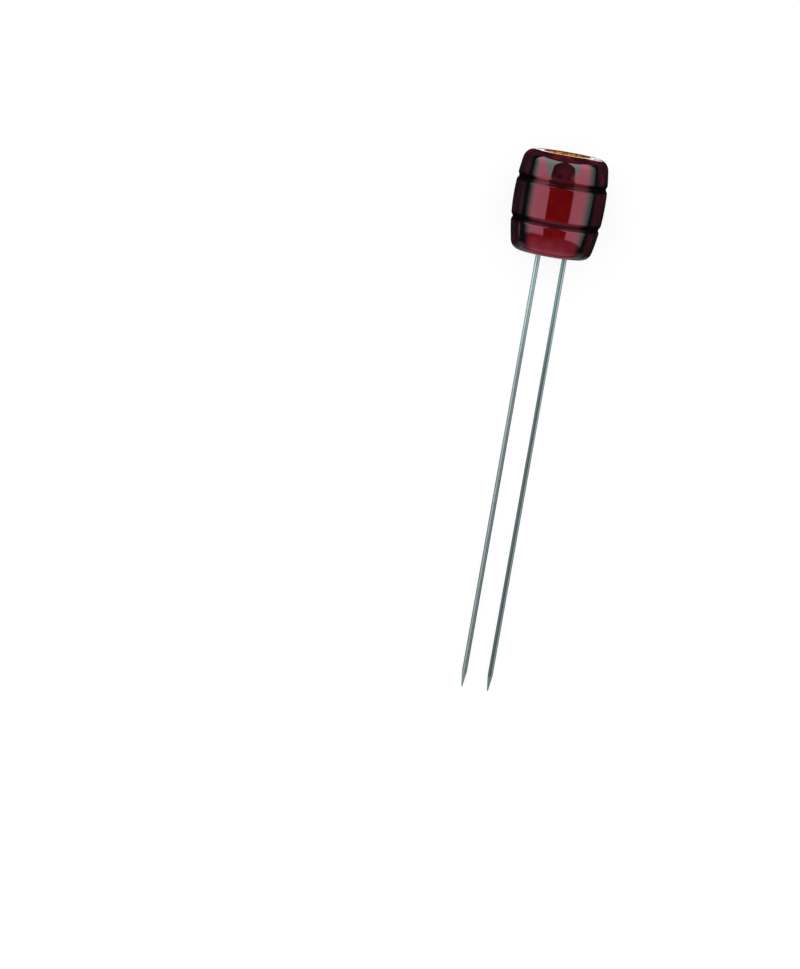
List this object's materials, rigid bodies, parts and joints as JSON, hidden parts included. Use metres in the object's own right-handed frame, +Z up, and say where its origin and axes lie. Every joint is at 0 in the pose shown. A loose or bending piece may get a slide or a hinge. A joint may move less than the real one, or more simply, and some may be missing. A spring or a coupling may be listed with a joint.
{
  "type": "cocktail pick",
  "caption": "Cocktail pick with a small barrel-shaped translucent red head, hoop grooves and a wooden lid, on two straight parallel steel prongs with ground points.",
  "frame": {"origin": "on the table, under the centre of the lying pick's bounding box", "axes": "+X from the prong tips towards the barrel head, along the table; +Y towards the left prong; +Z up. The pick lies with its own axis rising 5.19 degrees towards +X"},
  "size_m": [0.1104, 0.0184, 0.0187],
  "materials": {
    "ruby_plastic": "polished, deep translucent ruby red",
    "lid_wood": "clear-varnished, fine dark grain",
    "prong_steel": "drawn and lightly polished stainless wire"
  },
  "bodies": {
    "root": {"barrel_head": "ruby_plastic", "lid_disc": "lid_wood", "left_prong": "prong_steel", "right_prong": "prong_steel"}
  },
  "joints": []
}
